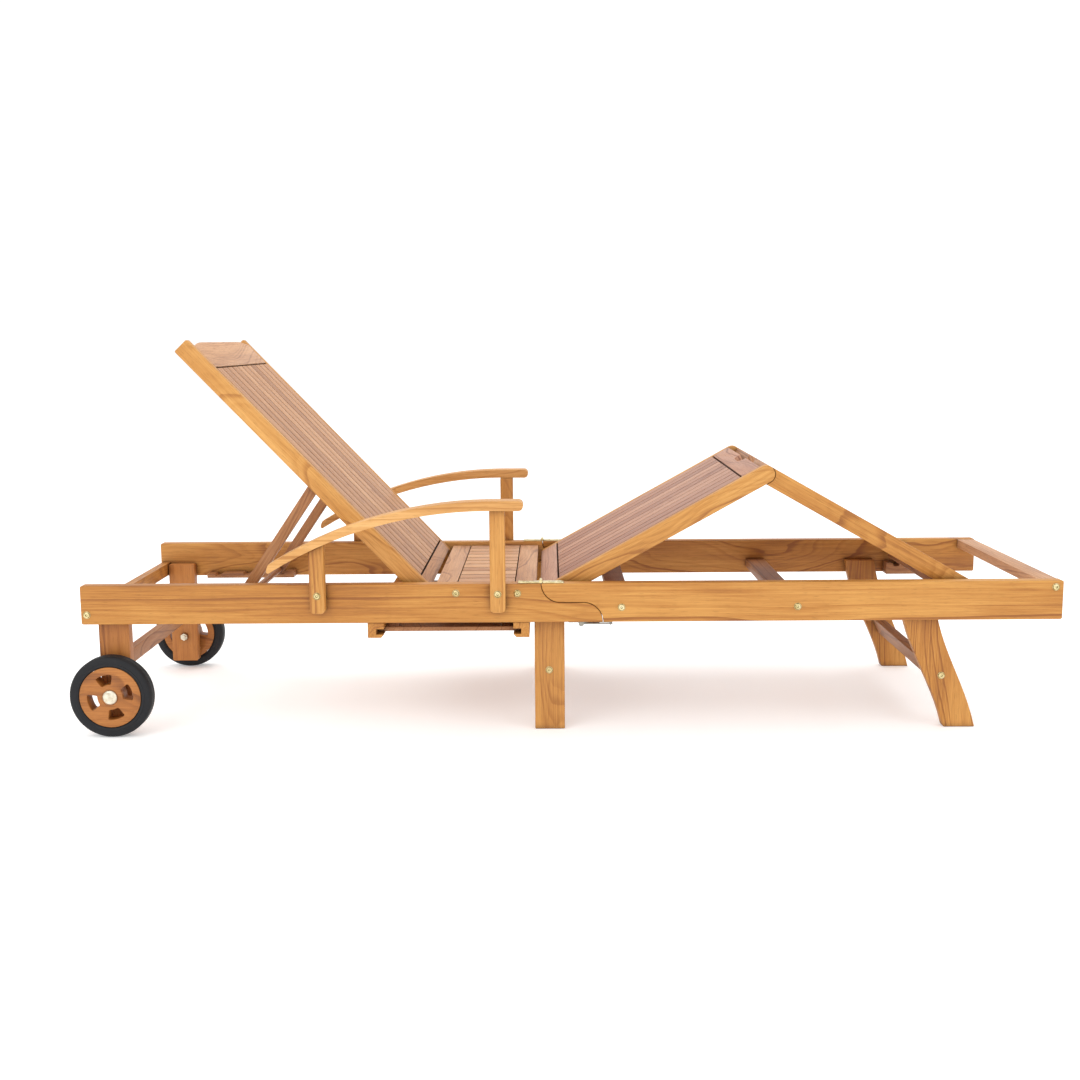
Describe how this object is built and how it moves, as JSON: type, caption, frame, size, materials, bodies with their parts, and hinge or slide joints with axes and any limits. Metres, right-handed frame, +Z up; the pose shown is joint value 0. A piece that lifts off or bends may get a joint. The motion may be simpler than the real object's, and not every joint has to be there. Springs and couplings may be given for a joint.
{
  "type": "reclining sun lounger",
  "caption": "Slatted hardwood sun lounger with wheels, armrests, a side tray, a propped backrest, a raising knee section and a frame that folds in two.",
  "frame": {"origin": "on the ground at the centre of the bounding box", "axes": "+X towards the foot end, -X towards the wheels and the head end, +Y to the user's left, +Z up"},
  "size_m": [2.0286, 0.686, 0.8071],
  "materials": {
    "rail_wood": "oiled golden hardwood, long straight grain, satin",
    "slat_wood": "oiled hardwood seen at a low angle, pinkish tan, matte",
    "under_wood": "oiled hardwood in shade, red-brown, matte",
    "brass_fittings": "yellow zinc and brass, satin, slightly worn",
    "tyre_rubber": "black rubber, matte"
  },
  "bodies": {
    "head_frame": {"armrest_front_post_left": "rail_wood", "armrest_front_post_right": "rail_wood", "armrest_left": "rail_wood", "armrest_rear_post_left": "rail_wood", "armrest_rear_post_right": "rail_wood", "armrest_right": "rail_wood", "back_rack_left": "under_wood", "back_rack_right": "under_wood", "fold_hinge_head_leaf_left": "brass_fittings", "fold_hinge_head_leaf_right": "brass_fittings", "head_cross_rail": "rail_wood", "head_rail_left": "rail_wood", "head_rail_right": "rail_wood", "middle_leg_left": "rail_wood", "middle_leg_right": "rail_wood", "seat_cross_rail_front": "slat_wood", "seat_cross_rail_rear": "slat_wood", "seat_slats": "slat_wood", "tray_runner_front": "rail_wood", "tray_runner_rear": "rail_wood", "wheel_axle_left": "brass_fittings", "wheel_axle_right": "brass_fittings", "wheel_leg_left": "rail_wood", "wheel_leg_right": "rail_wood", "wheel_leg_stretcher": "under_wood"},
    "foot_frame": {"fold_hinge_foot_leaf_left": "brass_fittings", "fold_hinge_foot_leaf_right": "brass_fittings", "foot_cross_rail_1": "under_wood", "foot_cross_rail_2": "under_wood", "foot_end_board": "rail_wood", "foot_leg_left": "rail_wood", "foot_leg_right": "rail_wood", "foot_leg_stretcher": "under_wood", "foot_rail_left": "rail_wood", "foot_rail_right": "rail_wood", "leg_rack_left": "under_wood", "leg_rack_right": "under_wood"},
    "backrest": {"back_rail_right": "rail_wood", "back_rail_left": "rail_wood", "headboard": "slat_wood", "back_slats": "slat_wood"},
    "prop": {"prop_arm_right": "under_wood", "prop_arm_left": "under_wood", "prop_bar": "under_wood"},
    "thigh_panel": {"thigh_rail_right": "rail_wood", "thigh_rail_left": "rail_wood", "thigh_deck": "slat_wood", "thigh_knee_board": "slat_wood"},
    "leg_panel": {"leg_rail_right": "rail_wood", "leg_rail_left": "rail_wood", "leg_deck": "slat_wood", "leg_knee_board": "slat_wood", "leg_rest_bar": "under_wood"},
    "tray": {"tray": "under_wood"},
    "wheel_right": {"wheel_tyre_right": "tyre_rubber", "wheel_disc_right": "rail_wood"},
    "wheel_left": {"wheel_tyre_left": "tyre_rubber", "wheel_disc_left": "rail_wood"},
    "latch_right": {"latch_lever_right": "brass_fittings"},
    "latch_left": {"latch_lever_left": "brass_fittings"}
  },
  "joints": [
    {"name": "backrest_tilt", "type": "hinge", "parent": "head_frame", "child": "backrest", "pos_m": [-0.28375, 0, 0.2865], "axis": [0, -1, 0], "range_deg": [0, 46.5]},
    {"name": "prop_swing", "type": "hinge", "parent": "backrest", "child": "prop", "pos_m": [-0.50954, 0, 0.51063], "axis": [0, 1, 0], "range_deg": [0, 98.4]},
    {"name": "frame_fold", "type": "hinge", "parent": "head_frame", "child": "foot_frame", "pos_m": [-0.04575, 0, 0.3168], "axis": [0, -1, 0], "range_deg": [0, 115]},
    {"name": "thigh_tilt", "type": "hinge", "parent": "foot_frame", "child": "thigh_panel", "pos_m": [-0.02375, 0, 0.286], "axis": [0, 1, 0], "range_deg": [0, 29]},
    {"name": "leg_fold", "type": "hinge", "parent": "thigh_panel", "child": "leg_panel", "pos_m": [0.41443, 0, 0.52889], "axis": [0, -1, 0], "range_deg": [0, 58.8]},
    {"name": "tray_slide", "type": "slide", "parent": "head_frame", "child": "tray", "axis": [0, -1, 0], "range_m": [-0.2, 0.2]},
    {"name": "wheel_spin_right", "type": "hinge", "parent": "head_frame", "child": "wheel_right", "pos_m": [-0.92975, -0.302, 0.0845], "axis": [0, 1, 0], "continuous": true},
    {"name": "wheel_spin_left", "type": "hinge", "parent": "head_frame", "child": "wheel_left", "pos_m": [-0.92975, 0.302, 0.0845], "axis": [0, 1, 0], "continuous": true},
    {"name": "latch_open_right", "type": "hinge", "parent": "head_frame", "child": "latch_right", "pos_m": [0.03625, -0.286, 0.228], "axis": [0, 1, 0], "range_deg": [0, 90]},
    {"name": "latch_open_left", "type": "hinge", "parent": "head_frame", "child": "latch_left", "pos_m": [0.03625, 0.286, 0.228], "axis": [0, 1, 0], "range_deg": [0, 90]}
  ],
  "couplings": [
    {"joint": "prop_swing", "follows": "backrest_tilt", "ratio": 2.1148},
    {"joint": "leg_fold", "follows": "thigh_tilt", "ratio": 2.0241}
  ]
}
